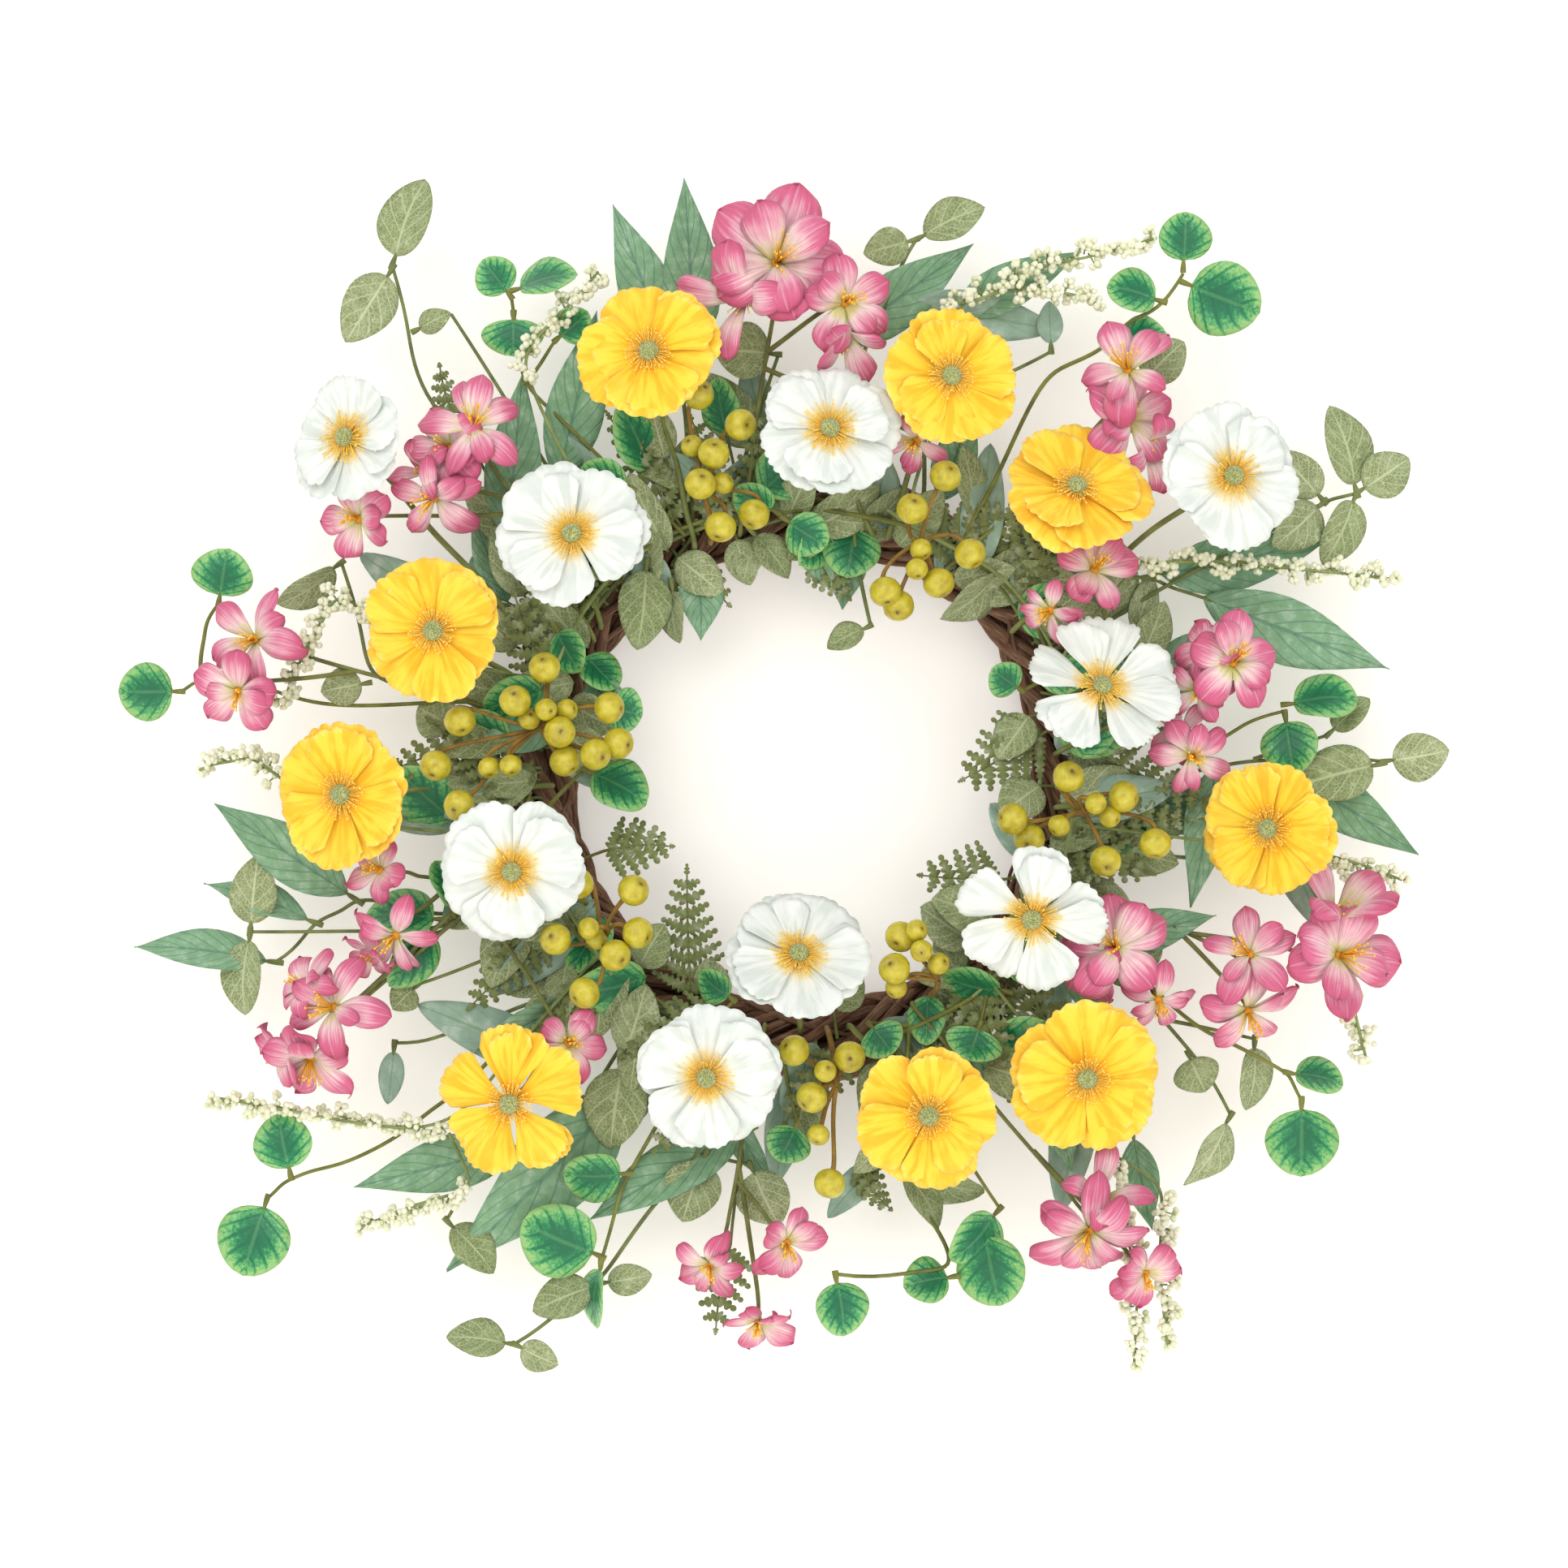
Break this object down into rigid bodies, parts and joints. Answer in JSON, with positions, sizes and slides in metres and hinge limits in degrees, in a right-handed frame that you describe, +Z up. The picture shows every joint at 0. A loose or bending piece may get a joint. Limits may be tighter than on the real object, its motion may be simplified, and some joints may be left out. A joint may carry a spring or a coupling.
{
  "type": "floral wreath",
  "caption": "Hanging wreath: a twisted vine ring dressed with cupped poppies, blossoms, berries, ferns and leaf sprays.",
  "frame": {"origin": "the rest of the carrying hook, on the inner top of the vine ring, midway through its depth", "axes": "+Z up as the wreath hangs, -Y out of its face, +Y towards the wall behind, +X to the right seen from the front"},
  "size_m": [0.6093, 0.1124, 0.5471],
  "materials": {
    "vine": "dry brown vine bark",
    "yellow": "matt yellow petal cloth",
    "white": "matt white petal cloth",
    "pink": "matt pink petal cloth, printed streaks",
    "berry": "satin olive yellow",
    "sage": "matt grey green leaf cloth",
    "dappled": "matt leaf cloth, dark middle and light rim",
    "net": "matt olive leaf cloth, pale net of veins",
    "fern": "matt moulded olive",
    "seed": "matt cream seeds on green wire"
  },
  "bodies": {
    "root": {"berry_sprig_1": "berry", "berry_sprig_2": "berry", "berry_sprig_3": "berry", "berry_sprig_4": "berry", "berry_sprig_5": "berry", "berry_sprig_6": "berry", "berry_sprig_7": "berry", "blossom_sprig_1": "pink", "blossom_sprig_2": "pink", "blossom_sprig_3": "pink", "blossom_sprig_4": "pink", "blossom_sprig_5": "pink", "blossom_sprig_6": "pink", "blossom_sprig_7": "pink", "blossom_sprig_8": "pink", "blossom_sprig_9": "pink", "dappled_spray_ne": "dappled", "dappled_spray_nw": "dappled", "dappled_spray_se": "dappled", "dappled_spray_sw": "dappled", "fern_spray_ne": "fern", "fern_spray_nw": "fern", "fern_spray_se": "fern", "fern_spray_sw": "fern", "net_leaf_spray_ne": "net", "net_leaf_spray_nw": "net", "net_leaf_spray_se": "net", "net_leaf_spray_sw": "net", "sage_spray_ne": "sage", "sage_spray_nw": "sage", "sage_spray_se": "sage", "sage_spray_sw": "sage", "seed_spray_ne": "seed", "seed_spray_nw": "seed", "seed_spray_se": "seed", "seed_spray_sw": "seed", "vine_core": "vine", "vine_strand_1": "vine", "vine_strand_2": "vine", "vine_strand_3": "vine", "vine_strand_4": "vine", "vine_strand_5": "vine", "white_poppy_1": "white", "white_poppy_2": "white", "white_poppy_3": "white", "white_poppy_4": "white", "white_poppy_5": "white", "white_poppy_6": "white", "white_poppy_7": "white", "white_poppy_8": "white", "white_poppy_9": "white", "yellow_poppy_1": "yellow", "yellow_poppy_2": "yellow", "yellow_poppy_3": "yellow", "yellow_poppy_4": "yellow", "yellow_poppy_5": "yellow", "yellow_poppy_6": "yellow", "yellow_poppy_7": "yellow", "yellow_poppy_8": "yellow", "yellow_poppy_9": "yellow"}
  },
  "joints": []
}
